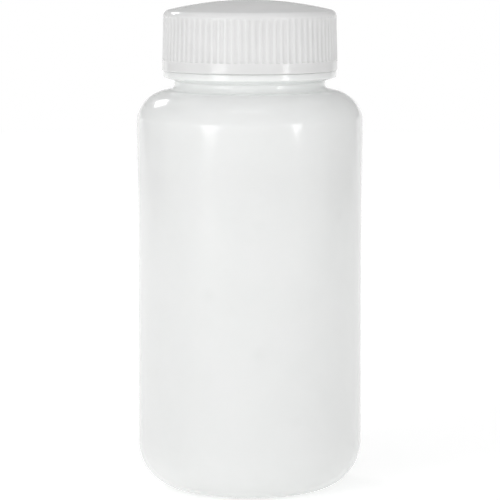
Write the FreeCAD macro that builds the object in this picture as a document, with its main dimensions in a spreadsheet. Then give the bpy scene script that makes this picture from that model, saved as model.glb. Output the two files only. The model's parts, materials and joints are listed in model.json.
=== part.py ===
"""Wide-mouth laboratory bottle with a ribbed screw cap, in millimetres, +Z up.

The origin is the middle of the ring that the bottle stands on. The bottle is one blow-moulded
shell, the cap is one moulded shell, and a loose disc between them seals the rim.
"""

import FreeCAD
import Part

import math
import os

import Sketcher

SHEET = "dims"
FULL_TURN = 360.0
RIGHT_ANGLE = 90.0
QUARTER_TURN = 0.25
JOINED = 1e-9

# Every size that can be set by itself: alias, value and what it measures.
DIMENSIONS = (
    ("body_radius", 37.35, "outside radius of the straight side"),
    ("shoulder_radius", 37.6, "outside radius of the side where it meets the shoulder"),
    ("side_wall", 1.4, "wall of the side and the shoulder"),
    ("base_wall", 1.8, "wall of the base"),
    ("base_corner", 15.4, "outside radius of the rounding round the base"),
    ("foot_width", 2.4, "width of the ring that the bottle stands on"),
    ("push_up", 2.0, "rise of the base's middle above the standing ring"),
    ("panel_height", 84.0, "height at which the side begins to widen"),
    ("flare_height", 28.0, "height over which the side widens"),
    ("upper_side", 12.0, "height of the straight side between the flare and the shoulder"),
    ("shoulder_arc", 11.87, "outside radius of the shoulder's curve"),
    ("shoulder_tilt", 11.8, "degrees by which the shoulder leans in at its lower edge"),
    ("neck_radius", 25.0, "outside radius of the neck under the thread"),
    ("neck_wall", 2.6, "wall of the neck below the collar"),
    ("neck_fillet", 1.5, "radius of the hollow between shoulder and neck"),
    ("neck_groove", 1.476, "height of the straight neck between that hollow and the collar"),
    ("finish_wall", 3.2, "wall of the neck at the mouth"),
    ("collar_width", 3.75, "how far the collar under the cap stands out of the neck"),
    ("collar_face", 2.1, "height of the collar's upright face"),
    ("collar_slope", 19.0, "degrees of the collar's underside"),
    ("collar_round", 0.5, "rounding of the collar's edges"),
    ("collar_hollow", 1.42, "depth of the hollow that blowing leaves behind the collar"),
    ("rim_land", 1.3834, "height of the plain neck between the thread's upper end and the rim"),
    ("rim_round", 0.6, "rounding of the rim's edges"),
    ("thread_pitch", 4.2333, "rise of the thread in one turn"),
    ("neck_thread_depth", 1.25, "how far the neck's thread stands out"),
    ("neck_thread_root", 2.4, "width of the neck's thread at its root"),
    ("neck_thread_crest", 1.1, "width of the neck's thread at its crest"),
    ("neck_thread_turns", 2.0, "turns of the neck's thread"),
    ("neck_thread_start", 3.55, "height of the thread's lower end above the collar"),
    ("thread_gap", 0.34, "gap between the flanks of the two threads, along the axis"),
    ("cap_thread_root", 2.0, "width of the cap's thread at its root"),
    ("cap_thread_crest", 0.9, "width of the cap's thread at its crest"),
    ("cap_thread_turns", 1.9, "turns of the cap's thread"),
    ("crest_gap", 0.5, "gap between each thread's crest and the wall it faces"),
    ("liner_thickness", 1.0, "thickness of the sealing disc"),
    ("liner_gap", 0.55, "gap between the sealing disc and the cap's skirt"),
    ("lip_gap", 0.15, "gap between the cap's lip and the collar"),
    ("band_wall", 2.35, "wall of the plain band at the cap's lip"),
    ("band_height", 3.35, "height of the plain band"),
    ("lip_round", 0.5, "rounding of the cap's lip"),
    ("skirt_wall", 2.0, "wall of the cap's skirt under its upper corner"),
    ("cap_corner", 2.35, "outside radius of the cap's upper corner"),
    ("crown_radius", 114.0, "outside radius of the cap's domed top"),
    ("crown_height", 8.65, "height of the dome above the rim"),
    ("roof_wall", 1.65, "wall of the cap's top"),
    ("roof_corner", 1.0, "radius inside the cap's upper corner"),
    ("land_inset", 0.4, "how far outside the mouth the ring that presses the disc begins"),
    ("land_width", 2.4, "width of that ring"),
    ("rib_count", 78, "ribs round the cap"),
    ("rib_height", 0.52, "how far the ribs stand out of the panel between them"),
    ("rib_root", 1.6, "width of a rib at its root"),
    ("rib_crest", 0.6, "width of a rib at its crest"),
    ("rib_edge", 0.22, "chamfer between a rib's crest and its flanks"),
    ("rib_run_out", 0.8, "height over which the panel runs out above and below the ribs"),
    ("seating", 0.4, "how far a thread or rib reaches into the wall that carries it"),
)


class Size:
    """A length with its present value and the expression that ties it to the sheet."""

    def __init__(self, value, text):
        self.value = float(value)
        self.text = text

    def __add__(self, other):
        other = size(other)
        return Size(self.value + other.value, f"({self.text} + {other.text})")

    def __sub__(self, other):
        other = size(other)
        return Size(self.value - other.value, f"({self.text} - {other.text})")

    def __mul__(self, other):
        other = size(other)
        return Size(self.value * other.value, f"({self.text} * {other.text})")

    def __truediv__(self, other):
        other = size(other)
        return Size(self.value / other.value, f"({self.text} / {other.text})")


def size(number):
    """A plain number as a Size; a Size stays as it is."""
    return number if isinstance(number, Size) else Size(number, repr(float(number)))


def root(inner):
    """Square root of a Size."""
    return Size(math.sqrt(inner.value), f"sqrt({inner.text})")


def leg(hypotenuse, other):
    """The other short side of a right-angled triangle."""
    return root(hypotenuse * hypotenuse - other * other)


def sine(degrees):
    """Sine of an angle in degrees."""
    return Size(math.sin(math.radians(degrees.value)), f"sin({degrees.text} * 1deg)")


def cosine(degrees):
    """Cosine of an angle in degrees."""
    return Size(math.cos(math.radians(degrees.value)), f"cos({degrees.text} * 1deg)")


def tangent(degrees):
    """Tangent of an angle in degrees."""
    return sine(degrees) / cosine(degrees)


class Dimensions:
    """The spreadsheet, with each driving dimension as an attribute."""

    def __init__(self, document):
        self.sheet = document.addObject("Spreadsheet::Sheet", SHEET)
        for row, (alias, value, note) in enumerate(DIMENSIONS, start=1):
            self.sheet.set(f"A{row}", alias)
            self.sheet.set(f"B{row}", str(value))
            self.sheet.set(f"C{row}", note)
            self.sheet.setAlias(f"B{row}", alias)
            setattr(self, alias, Size(value, f"{SHEET}.{alias}"))


class Outline:
    """A closed outline in one of a body's own planes, every corner tied to the sheet."""

    def __init__(self, body, role, name, lift=None):
        self.sketch = body.newObject("Sketcher::SketchObject", name)
        self.sketch.AttachmentSupport = [(origin_feature(body, role), "")]
        self.sketch.MapMode = "FlatFace"
        if lift is not None:
            self.sketch.setExpression("AttachmentOffset.Base.z", lift.text)
            offset = FreeCAD.Vector(0, 0, lift.value)
            self.sketch.AttachmentOffset = FreeCAD.Placement(offset, FreeCAD.Rotation())
        self.start = None
        self.place = None
        self.joints = []
        self.ends = []

    def begin(self, across, up):
        """Set the outline's first corner."""
        self.start = (size(across), size(up))
        self.place = self.start
        return self

    def line(self, across, up):
        """Draw a straight edge to the next corner."""
        target = (size(across), size(up))
        first, last = (FreeCAD.Vector(p[0].value, p[1].value, 0) for p in (self.place, target))
        edge = self.sketch.addGeometry(Part.LineSegment(first, last), False)
        self.finish_edge(edge, target, 1, 2)
        return self

    def arc(self, across, up, radius, left):
        """Draw a round edge to the next corner, turning left or right on the way there."""
        target = (size(across), size(up))
        x0, y0, x1, y1 = (p.value for p in (*self.place, *target))
        half = math.hypot(x1 - x0, y1 - y0) / 2
        rise = math.sqrt(max(radius.value**2 - half**2, 0.0))
        side = 1 if left else -1
        centre_x = (x0 + x1) / 2 - side * rise * (y1 - y0) / (2 * half)
        centre_y = (y0 + y1) / 2 + side * rise * (x1 - x0) / (2 * half)
        angles = [math.atan2(y - centre_y, x - centre_x) for x, y in ((x0, y0), (x1, y1))]
        first, last = angles if left else reversed(angles)
        centre = FreeCAD.Vector(centre_x, centre_y, 0)
        circle = Part.Circle(centre, FreeCAD.Vector(0, 0, 1), radius.value)
        edge = self.sketch.addGeometry(Part.ArcOfCircle(circle, first, last), False)
        self.bind(Sketcher.Constraint("Radius", edge, radius.value), radius)
        near, far = (1, 2) if left else (2, 1)
        self.finish_edge(edge, target, near, far)
        return self

    def finish_edge(self, edge, target, near, far):
        """Join an edge to the one before it and tie its start to the sheet."""
        self.ends.append((edge, near, far))
        self.joints.append(self.place)
        self.place = target

    def close(self):
        """Draw the last straight edge if there is a gap, then fix every corner."""
        gap = [abs(a.value - b.value) for a, b in zip(self.place, self.start)]
        if max(gap) > JOINED:
            self.line(*self.start)
        for index, (edge, near, _) in enumerate(self.ends):
            before, _, far = self.ends[index - 1]
            self.sketch.addConstraint(Sketcher.Constraint("Coincident", before, far, edge, near))
            self.fix(edge, near, self.joints[index])
        return self.sketch

    def fix(self, edge, near, corner):
        """Hold a corner at its distances from the origin."""
        for name, distance, axis in zip(("DistanceX", "DistanceY"), corner, (-2, -1)):
            if distance.value == 0.0:
                self.sketch.addConstraint(Sketcher.Constraint("PointOnObject", edge, near, axis))
            else:
                rule = Sketcher.Constraint(name, -1, 1, edge, near, distance.value)
                self.bind(rule, distance)

    def bind(self, rule, length):
        """Add a constraint whose value follows the sheet."""
        index = self.sketch.addConstraint(rule)
        self.sketch.setExpression(f"Constraints[{index}]", length.text)


def origin_feature(body, role):
    """One of a body's own origin planes or axes."""
    return next(feature for feature in body.Origin.OriginFeatures if feature.Role == role)


def revolve(body, sketch, name):
    """Turn an outline once round the upright axis."""
    feature = body.newObject("PartDesign::Revolution", name)
    feature.Profile = sketch
    feature.ReferenceAxis = (sketch, ["V_Axis"])
    feature.Angle = FULL_TURN
    return feature


def wind_thread(body, sketch, name, dims, turns):
    """Wind a thread's outline up round the axis as a right-handed helix."""
    feature = body.newObject("PartDesign::AdditiveHelix", name)
    feature.Profile = sketch
    feature.ReferenceAxis = (sketch, ["V_Axis"])
    feature.Mode = "pitch-turns-angle"
    feature.setExpression("Pitch", dims.thread_pitch.text)
    feature.setExpression("Turns", turns.text)
    feature.Angle = 0.0
    feature.Growth = 0.0
    feature.LeftHanded = False
    feature.Reversed = False
    return feature


def make_body(document, label):
    """A new body whose label names its file."""
    body = document.addObject("PartDesign::Body", label)
    body.Label = label
    document.recompute()
    return body


class Levels:
    """Heights and radii that more than one piece shares, worked out from the dimensions."""

    def __init__(self, dims):
        self.flare_top = dims.panel_height + dims.flare_height
        self.side_top = self.flare_top + dims.upper_side
        self.shoulder_x = dims.shoulder_radius - dims.shoulder_arc * cosine(dims.shoulder_tilt)
        self.shoulder_z = self.side_top - dims.shoulder_arc * sine(dims.shoulder_tilt)
        self.hollow_x = dims.neck_radius + dims.neck_fillet
        self.hollow_reach = dims.shoulder_arc + dims.neck_fillet
        self.hollow_z = self.shoulder_z + leg(self.hollow_reach, self.hollow_x - self.shoulder_x)
        self.groove_top = self.hollow_z + dims.neck_groove
        self.collar_edge = self.groove_top + dims.collar_width * tangent(dims.collar_slope)
        self.collar_top = self.collar_edge + dims.collar_face
        self.collar_radius = dims.neck_radius + dims.collar_width
        self.neck_thread = self.collar_top + dims.neck_thread_start
        thread_end = self.neck_thread + dims.thread_pitch * dims.neck_thread_turns
        self.rim = thread_end + dims.neck_thread_root / 2 + dims.rim_land
        self.mouth_radius = dims.neck_radius - dims.finish_wall
        self.disc_top = self.rim + dims.liner_thickness
        self.lip = self.collar_top + dims.lip_gap
        self.neck_crest = dims.neck_radius + dims.neck_thread_depth
        self.skirt_bore = self.neck_crest + dims.crest_gap
        self.cap_crest = dims.neck_radius + dims.crest_gap
        self.band_radius = self.skirt_bore + dims.band_wall
        self.cap_top_radius = self.skirt_bore + dims.skirt_wall
        self.disc_radius = self.skirt_bore - dims.liner_gap
        self.thread_drop = self.flank_distance(dims) + dims.thread_gap

    def flank_distance(self, dims):
        """Distance between the threads' middles at which their flanks would touch."""
        neck_lean = (dims.neck_thread_root - dims.neck_thread_crest) / (dims.neck_thread_depth * 2)
        cap_depth = self.skirt_bore - self.cap_crest
        cap_lean = (dims.cap_thread_root - dims.cap_thread_crest) / (cap_depth * 2)
        overlap = self.neck_crest - self.cap_crest
        at_neck_crest = (dims.neck_thread_crest + dims.cap_thread_crest) / 2 + overlap * cap_lean
        at_cap_crest = (dims.neck_thread_crest + dims.cap_thread_crest) / 2 + overlap * neck_lean
        return at_neck_crest if at_neck_crest.value > at_cap_crest.value else at_cap_crest


def bottle_outline(body, dims, levels):
    """Section of the bottle's wall: up its outside, over the rim and down its inside."""
    radius, corner, wall = dims.body_radius, dims.base_corner, dims.side_wall
    foot = radius - corner
    foot_inner = foot - dims.foot_width
    base_bend = (foot_inner * foot_inner + dims.push_up * dims.push_up) / (dims.push_up * 2)

    # The shoulder's two curves share a centre, and each neck hollow touches its curve.
    centre_x, centre_z = levels.shoulder_x, levels.shoulder_z
    inner_arc = dims.shoulder_arc - wall
    inner_side = dims.shoulder_radius - wall
    inner_edge = centre_z + leg(inner_arc, inner_side - centre_x)
    touch = dims.shoulder_arc / levels.hollow_reach
    touch_x = centre_x + (levels.hollow_x - centre_x) * touch
    touch_z = centre_z + (levels.hollow_z - centre_z) * touch
    neck_bore = dims.neck_radius - dims.neck_wall
    inner_fillet = dims.neck_fillet + wall
    inner_reach = inner_arc + inner_fillet
    inner_hollow_x = neck_bore + inner_fillet
    inner_hollow_z = centre_z + leg(inner_reach, inner_hollow_x - centre_x)
    inner_touch = inner_arc / inner_reach
    inner_touch_x = centre_x + (inner_hollow_x - centre_x) * inner_touch
    inner_touch_z = centre_z + (inner_hollow_z - centre_z) * inner_touch

    # The collar's underside rises outwards at a steady slope to a rounded edge.
    collar, top, rounding = levels.collar_radius, levels.collar_top, dims.collar_round
    tangent_run = rounding * tangent((size(RIGHT_ANGLE) - dims.collar_slope) / 2)
    under_x = collar - tangent_run * cosine(dims.collar_slope)
    under_z = levels.collar_edge - tangent_run * sine(dims.collar_slope)
    rim_round = dims.rim_round

    # Behind the collar blowing leaves a round hollow, set by its depth.
    mouth, hollow = levels.mouth_radius, dims.collar_hollow
    hollow_top = top + rounding
    hollow_foot = levels.groove_top - rounding
    narrowing, height = neck_bore - mouth, hollow_top - hollow_foot
    hollow_bend = (narrowing * narrowing + height * height) / (hollow * 8) + hollow / 2

    outline = Outline(body, "XZ_Plane", "bottle_section")
    outline.begin(0, dims.push_up)
    outline.arc(foot_inner, 0, base_bend, left=False)
    outline.line(foot, 0)
    outline.arc(radius, corner, corner, left=True)
    outline.line(radius, dims.panel_height)
    outline.line(dims.shoulder_radius, levels.flare_top)
    outline.line(dims.shoulder_radius, levels.side_top)
    outline.arc(touch_x, touch_z, dims.shoulder_arc, left=True)
    outline.arc(dims.neck_radius, levels.hollow_z, dims.neck_fillet, left=False)
    outline.line(dims.neck_radius, levels.groove_top)
    outline.line(under_x, under_z)
    outline.arc(collar, levels.collar_edge + tangent_run, rounding, left=True)
    outline.line(collar, top - rounding)
    outline.arc(collar - rounding, top, rounding, left=True)
    outline.line(dims.neck_radius, top)
    outline.line(dims.neck_radius, levels.rim - rim_round)
    outline.arc(dims.neck_radius - rim_round, levels.rim, rim_round, left=True)
    outline.line(mouth + rim_round, levels.rim)
    outline.arc(mouth, levels.rim - rim_round, rim_round, left=True)
    outline.line(mouth, hollow_top)
    outline.arc(neck_bore, hollow_foot, hollow_bend, left=False)
    outline.line(neck_bore, inner_hollow_z)
    outline.arc(inner_touch_x, inner_touch_z, inner_fillet, left=True)
    outline.arc(inner_side, inner_edge, inner_arc, left=False)
    outline.line(inner_side, levels.flare_top)
    outline.line(radius - wall, dims.panel_height)
    outline.line(radius - wall, dims.base_wall + corner - wall)
    outline.arc(foot, dims.base_wall, corner - wall, left=False)
    outline.line(foot_inner, dims.base_wall)
    outline.arc(0, dims.push_up + dims.base_wall, base_bend, left=True)
    return outline.close()


def build_bottle(document, dims, levels):
    """The blow-moulded bottle with the thread on its neck."""
    body = make_body(document, "bottle")
    revolve(body, bottle_outline(body, dims, levels), "bottle_shell")
    foot = dims.neck_radius - dims.seating
    lean = (dims.neck_thread_root - dims.neck_thread_crest) / (dims.neck_thread_depth * 2)
    half_foot = dims.neck_thread_root / 2 + lean * dims.seating
    half_crest = dims.neck_thread_crest / 2
    thread = Outline(body, "XZ_Plane", "neck_thread_section")
    thread.begin(foot, levels.neck_thread - half_foot)
    thread.line(levels.neck_crest, levels.neck_thread - half_crest)
    thread.line(levels.neck_crest, levels.neck_thread + half_crest)
    thread.line(foot, levels.neck_thread + half_foot)
    section = thread.close()
    wind_thread(body, section, "neck_thread", dims, dims.neck_thread_turns)
    return body


def cap_outline(body, dims, levels):
    """Section of the cap's wall: up its outside, over the dome and down its inside."""
    lip, rounding, bore = levels.lip, dims.lip_round, levels.skirt_bore
    band, top_radius = levels.band_radius, levels.cap_top_radius
    band_top = lip + dims.band_height
    apex = levels.rim + dims.crown_height

    # The upper corner touches both the upright side and the dome.
    corner_x = top_radius - dims.cap_corner
    dome_z = apex - dims.crown_radius
    corner_reach = dims.crown_radius - dims.cap_corner
    corner_z = dome_z + leg(corner_reach, corner_x)
    touch = dims.crown_radius / corner_reach
    touch_x = corner_x * touch
    touch_z = dome_z + (corner_z - dome_z) * touch
    inner_dome = dims.crown_radius - dims.roof_wall
    inner_corner_x = bore - dims.roof_corner
    inner_reach = inner_dome - dims.roof_corner
    inner_corner_z = dome_z + leg(inner_reach, inner_corner_x)
    inner_touch = inner_dome / inner_reach
    inner_touch_x = inner_corner_x * inner_touch
    inner_touch_z = dome_z + (inner_corner_z - dome_z) * inner_touch
    land_inner = levels.mouth_radius + dims.land_inset
    land_outer = land_inner + dims.land_width

    outline = Outline(body, "XZ_Plane", "cap_section")
    outline.begin(bore + rounding, lip)
    outline.line(band - rounding, lip)
    outline.arc(band, lip + rounding, rounding, left=True)
    outline.line(band, band_top)
    outline.line(band - dims.rib_height, band_top + dims.rib_run_out)
    outline.line(top_radius - dims.rib_height, corner_z - dims.rib_run_out * 2)
    outline.line(top_radius, corner_z - dims.rib_run_out)
    outline.line(top_radius, corner_z)
    outline.arc(touch_x, touch_z, dims.cap_corner, left=True)
    outline.arc(0, apex, dims.crown_radius, left=True)
    outline.line(0, apex - dims.roof_wall)
    outline.arc(land_inner, dome_z + leg(inner_dome, land_inner), inner_dome, left=False)
    outline.line(land_inner, levels.disc_top)
    outline.line(land_outer, levels.disc_top)
    outline.line(land_outer, dome_z + leg(inner_dome, land_outer))
    outline.arc(inner_touch_x, inner_touch_z, inner_dome, left=False)
    outline.arc(bore, inner_corner_z, dims.roof_corner, left=False)
    outline.line(bore, lip + rounding)
    return outline.close(), band_top, corner_z


def rib_outline(body, dims, name, crest, lift):
    """Section of one rib at a height, from inside the wall out to its crest."""
    half_root, half_crest, edge = dims.rib_root / 2, dims.rib_crest / 2, dims.rib_edge
    foot = crest - dims.rib_height - dims.seating
    outline = Outline(body, "XY_Plane", name, lift)
    outline.begin(foot, size(0) - half_root)
    outline.line(crest - edge, size(0) - half_crest - edge)
    outline.line(crest, size(0) - half_crest)
    outline.line(crest, half_crest)
    outline.line(crest - edge, half_crest + edge)
    outline.line(foot, half_root)
    return outline.close()


def build_ribs(document, body, dims, levels, band_top, corner_z):
    """The upright grip ribs, each lofted from the band up to the corner."""
    slope = (levels.band_radius - levels.cap_top_radius) / (corner_z - band_top)
    low = band_top - dims.seating
    high = corner_z - dims.rib_run_out / 2
    low_crest = levels.band_radius - slope * dims.rib_run_out - dims.rib_edge / 2
    high_crest = levels.cap_top_radius - slope
    rib = body.newObject("PartDesign::AdditiveLoft", "rib")
    rib.Profile = rib_outline(body, dims, "rib_foot", low_crest, low)
    rib.Sections = [rib_outline(body, dims, "rib_top", high_crest, high)]
    rib.Ruled = True
    document.recompute()
    ribs = body.newObject("PartDesign::PolarPattern", "ribs")
    ribs.Originals = [rib]
    ribs.Axis = (origin_feature(body, "Z_Axis"), [""])
    ribs.Angle = FULL_TURN
    ribs.setExpression("Occurrences", dims.rib_count.text)
    body.Tip = ribs
    return ribs


def build_cap(document, dims, levels):
    """The moulded cap: domed top, ribbed grip, plain band and the thread inside."""
    body = make_body(document, "screw_cap")
    section, band_top, corner_z = cap_outline(body, dims, levels)
    revolve(body, section, "cap_shell")
    build_ribs(document, body, dims, levels, band_top, corner_z)
    document.recompute()

    # The thread starts a quarter turn round, on the helix that lies under the neck's thread.
    foot = levels.skirt_bore + dims.seating
    lean = (dims.cap_thread_root - dims.cap_thread_crest) / ((levels.skirt_bore - levels.cap_crest) * 2)
    half_foot = dims.cap_thread_root / 2 + lean * dims.seating
    half_crest = dims.cap_thread_crest / 2
    middle = levels.neck_thread + dims.thread_pitch * QUARTER_TURN - levels.thread_drop
    thread = Outline(body, "YZ_Plane", "cap_thread_section")
    thread.begin(foot, middle - half_foot)
    thread.line(foot, middle + half_foot)
    thread.line(levels.cap_crest, middle + half_crest)
    thread.line(levels.cap_crest, middle - half_crest)
    wind_thread(body, thread.close(), "cap_thread", dims, dims.cap_thread_turns)
    return body


def build_liner(document, levels, dims):
    """The loose sealing disc that the cap presses on the rim."""
    disc = document.addObject("Part::Cylinder", "sealing_disc")
    disc.Label = "sealing_disc"
    disc.setExpression("Radius", levels.disc_radius.text)
    disc.setExpression("Height", dims.liner_thickness.text)
    disc.setExpression("Placement.Base.z", levels.rim.text)
    return disc


def check(document, pieces):
    """Stop if any feature failed or any piece isn't one valid solid."""
    for item in document.Objects:
        if "Invalid" in item.State or "Error" in item.State:
            raise RuntimeError(f"{item.Name} failed: {item.State}")
    for piece in pieces:
        shape = piece.Shape
        if shape.isNull() or not shape.isValid() or len(shape.Solids) != 1:
            raise RuntimeError(f"{piece.Label} isn't one valid solid")


def report_sizes(pieces):
    """Print each piece's volume and box, for the report."""
    for piece in pieces:
        box = piece.Shape.BoundBox
        volume = piece.Shape.Volume / 1000.0
        extent = f"{box.XLength:.2f} x {box.YLength:.2f} x {box.ZMin:.2f} to {box.ZMax:.2f} mm"
        print(f"{piece.Label}: {volume:.2f} cm3, {extent}")


def main():
    """Build the document, check it and write one file for each piece."""
    document = FreeCAD.newDocument("wide_mouth_bottle")
    dims = Dimensions(document)
    document.recompute()
    levels = Levels(dims)
    pieces = [
        build_bottle(document, dims, levels),
        build_liner(document, levels, dims),
        build_cap(document, dims, levels),
    ]
    document.recompute()
    check(document, pieces)
    report_sizes(pieces)
    os.makedirs("parts", exist_ok=True)
    for piece in pieces:
        piece.Shape.exportStep(f"parts/{piece.Label}.step")


main()
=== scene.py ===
"""Looks of a wide-mouth laboratory bottle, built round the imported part.

The bottle is one blow-moulded shell of natural high-density polyethylene. Its cap is one injection-moulded
shell of natural polypropylene with fine grip ribs, and a disc of foamed polyethylene seals the rim. Each is
built here as a fine closed mesh in place of its node, and rides on that node's body.
"""

import json
import logging
import math
from collections.abc import Callable, Sequence
from dataclasses import dataclass
from enum import Enum

import bpy
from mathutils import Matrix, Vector


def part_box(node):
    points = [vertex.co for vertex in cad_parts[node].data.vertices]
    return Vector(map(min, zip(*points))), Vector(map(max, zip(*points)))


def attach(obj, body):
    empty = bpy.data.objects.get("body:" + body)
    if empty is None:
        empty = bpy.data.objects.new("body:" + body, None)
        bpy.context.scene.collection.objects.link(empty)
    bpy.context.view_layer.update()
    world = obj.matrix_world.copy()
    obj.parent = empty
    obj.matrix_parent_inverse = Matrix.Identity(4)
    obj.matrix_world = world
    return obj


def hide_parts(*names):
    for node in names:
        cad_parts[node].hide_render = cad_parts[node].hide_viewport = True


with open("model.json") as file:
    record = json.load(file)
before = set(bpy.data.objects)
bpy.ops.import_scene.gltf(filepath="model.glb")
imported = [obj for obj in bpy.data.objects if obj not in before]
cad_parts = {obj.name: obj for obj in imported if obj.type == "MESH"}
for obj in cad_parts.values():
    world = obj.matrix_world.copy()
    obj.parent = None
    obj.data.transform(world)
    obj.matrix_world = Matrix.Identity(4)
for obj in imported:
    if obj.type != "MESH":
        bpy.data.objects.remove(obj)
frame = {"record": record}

LOG = logging.getLogger("wide_mouth_bottle")
MM = 0.001
TURN = 2.0 * math.pi
QUARTER = TURN / 4.0

# From the angle, radius and height of a point of a plain surface: how far it is moved out and up.
Relief = Callable[[float, float, float], tuple[float, float]]
Tree = bpy.types.NodeTree
Socket = bpy.types.NodeSocket


class Facing(Enum):
    """Which side of a skin is open air, when its rings are laid in the order of its section."""

    OUTSIDE = 1
    INSIDE = -1


def flat(angle: float, radius: float, height: float) -> tuple[float, float]:
    """The relief of a plain surface, which is none."""
    return 0.0, 0.0


def smooth(share: float) -> float:
    """Ease a share of a way from 0 to 1, level at both ends."""
    share = min(max(share, 0.0), 1.0)
    return share * share * (3.0 - 2.0 * share)


def node_box_mm(node: str) -> tuple[Vector, Vector]:
    """Lowest and highest corner of a CAD node, in millimetres."""
    low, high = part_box(node)
    return low / MM, high / MM


class Section:
    """Half of an upright section, drawn from point to point in millimetres."""

    def __init__(self, radius: float, height: float) -> None:
        """Start the section at a point."""
        self.points: list[tuple[float, float]] = [(radius, height)]

    def line(self, radius: float, height: float, steps: int = 1, soft: bool = False) -> "Section":
        """Draw a straight run.

        Args:
            radius: distance of its end from the axis.
            height: height of its end.
            steps: pieces that the run is cut into.
            soft: whether it swells or draws in softly, upright at both ends, instead.

        Returns:
            The section, for the next call.
        """
        r0, z0 = self.points[-1]
        for step in range(1, steps + 1):
            share = step / steps
            out = smooth(share) if soft else share
            self.points.append((r0 + (radius - r0) * out, z0 + (height - z0) * share))
        return self

    def flat_run(self, radius: float, height: float, margin: float = 0.12) -> "Section":
        """Draw a straight run with a row close to each end, so that it shades flat beside a rounding.

        Args:
            radius: distance of its end from the axis.
            height: height of its end.
            margin: distance of those rows from the ends.

        Returns:
            The section, for the next call.
        """
        start, end = Vector(self.points[-1]), Vector((radius, height))
        way = end - start
        if way.length > margin * 3.0:
            step = way.normalized() * margin
            self.points += [tuple(start + step), tuple(end - step)]
        self.points.append((radius, height))
        return self

    def arc(self, radius: float, height: float, bend: float, steps: int) -> "Section":
        """Draw a round run.

        Args:
            radius: distance of its end from the axis.
            height: height of its end.
            bend: its own radius, positive where it turns left and negative where it turns right.
            steps: pieces that the run is cut into.

        Returns:
            The section, for the next call.
        """
        start, end = Vector(self.points[-1]), Vector((radius, height))
        half = (end - start) / 2.0
        rise = math.sqrt(max(bend * bend - half.length_squared, 0.0)) / half.length
        side = math.copysign(1.0, bend)
        centre = start + half + Vector((-half.y, half.x)) * (side * rise)
        first = math.atan2(start.y - centre.y, start.x - centre.x)
        sweep = side * 2.0 * math.asin(min(half.length / abs(bend), 1.0))
        for step in range(1, steps + 1):
            angle = first + sweep * step / steps
            out, up = abs(bend) * math.cos(angle), abs(bend) * math.sin(angle)
            self.points.append((centre.x + out, centre.y + up))
        self.points[-1] = (radius, height)
        return self

    def corner(
        self, at: tuple[float, float], towards: tuple[float, float], rounding: float, steps: int = 6
    ) -> "Section":
        """Draw a straight run to a corner and round the corner.

        Args:
            at: where the sharp corner would be.
            towards: a point that the next run heads for.
            rounding: radius of the rounding.
            steps: pieces that the rounding is cut into.

        Returns:
            The section, for the next call.
        """
        tip = Vector(at)
        before = (Vector(self.points[-1]) - tip).normalized()
        after = (Vector(towards) - tip).normalized()
        reach = rounding / math.tan(before.angle(after) / 2.0)
        turn = before.x * after.y - before.y * after.x
        begin, finish = tip + before * reach, tip + after * reach
        self.flat_run(begin.x, begin.y)
        return self.arc(finish.x, finish.y, math.copysign(rounding, -turn), steps)


@dataclass(frozen=True)
class Thread:
    """A right-handed thread wound round an upright wall, in millimetres.

    The depth is positive where the thread stands away from the axis. The start is the angle and the height
    of the middle of its lower end, and low_row is how far below that middle its lowest row of points lies.
    """

    pitch: float
    turns: float
    start_angle: float
    start_height: float
    root: float
    crest: float
    depth: float
    low_row: float
    fade_turns: float = 0.06

    def rows(self) -> list[tuple[float, float]]:
        """Heights across one pitch, from low_row, each with its share of the thread's depth."""
        half_root, half_crest = self.root / 2.0, self.crest / 2.0
        flank = half_root - half_crest
        steps = (1.0, 0.86, 0.7, 0.5, 0.3, 0.14, 0.0)
        below = [(-half_crest - flank * share, smooth(1.0 - share)) for share in steps]
        above = [(-offset, share) for offset, share in reversed(below)]
        free_top = self.pitch - self.low_row
        gap = (free_top - half_root) / 3.0
        between = [(half_root + gap * step, 0.0) for step in (1, 2)]
        return [(-self.low_row, 0.0), *below, (0.0, 1.0), *above, *between]

    def strength(self, turn: float) -> float:
        """Share of its full depth that the thread has after so many turns; it fades out at both ends."""
        return smooth(turn / self.fade_turns) * smooth((self.turns - turn) / self.fade_turns)


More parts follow.
